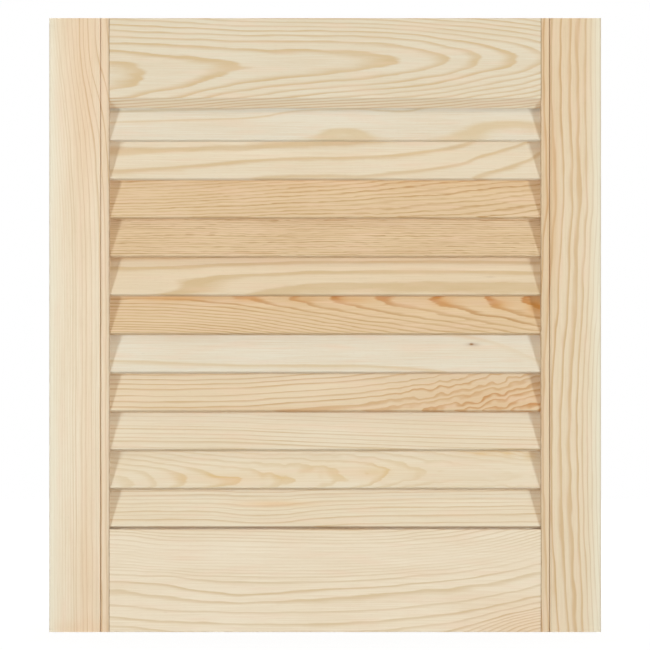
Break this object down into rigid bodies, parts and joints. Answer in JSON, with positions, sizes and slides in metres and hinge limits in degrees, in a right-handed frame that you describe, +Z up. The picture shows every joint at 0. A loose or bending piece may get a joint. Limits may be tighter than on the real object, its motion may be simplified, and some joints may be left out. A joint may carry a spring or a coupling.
{
  "type": "openwork cabinet door",
  "caption": "Flat rectangular cabinet door of bare pine: two full-height stiles with a grooved bead, plain top and bottom rails, and fixed sloping slats between them.",
  "frame": {"origin": "middle of the outer edge face of the left (hinge) stile, at mid-height and mid-thickness", "axes": "+X across the width from the hinge edge to the closing edge, +Y through the thickness from the front to the back, +Z up"},
  "size_m": [0.444, 0.021, 0.494],
  "materials": {
    "left_stile": "bare planed pine, pale cream straight grain",
    "right_stile": "bare planed pine, cream with tan bands",
    "top_rail": "bare planed pine, arched flat-sawn grain",
    "bottom_rail": "bare planed pine, wavy flat-sawn grain",
    "dowel": "turned beech, fine straight grain",
    "slat_01": "bare planed pine",
    "slat_02": "bare planed pine",
    "slat_03": "bare planed pine",
    "slat_04": "bare planed pine",
    "slat_05": "bare planed pine",
    "slat_06": "bare planed pine",
    "slat_07": "bare planed pine",
    "slat_08": "bare planed pine",
    "slat_09": "bare planed pine",
    "slat_10": "bare planed pine",
    "slat_11": "bare planed pine"
  },
  "bodies": {
    "root": {"left_stile": "left_stile", "right_stile": "right_stile", "top_rail": "top_rail", "bottom_rail": "bottom_rail", "slat_01": "slat_01", "slat_02": "slat_02", "slat_03": "slat_03", "slat_04": "slat_04", "slat_05": "slat_05", "slat_06": "slat_06", "slat_07": "slat_07", "slat_08": "slat_08", "slat_09": "slat_09", "slat_10": "slat_10", "slat_11": "slat_11", "dowel_top_left_upper": "dowel", "dowel_top_left_lower": "dowel", "dowel_top_right_upper": "dowel", "dowel_top_right_lower": "dowel", "dowel_bottom_left_upper": "dowel", "dowel_bottom_left_lower": "dowel", "dowel_bottom_right_upper": "dowel", "dowel_bottom_right_lower": "dowel"}
  },
  "joints": []
}
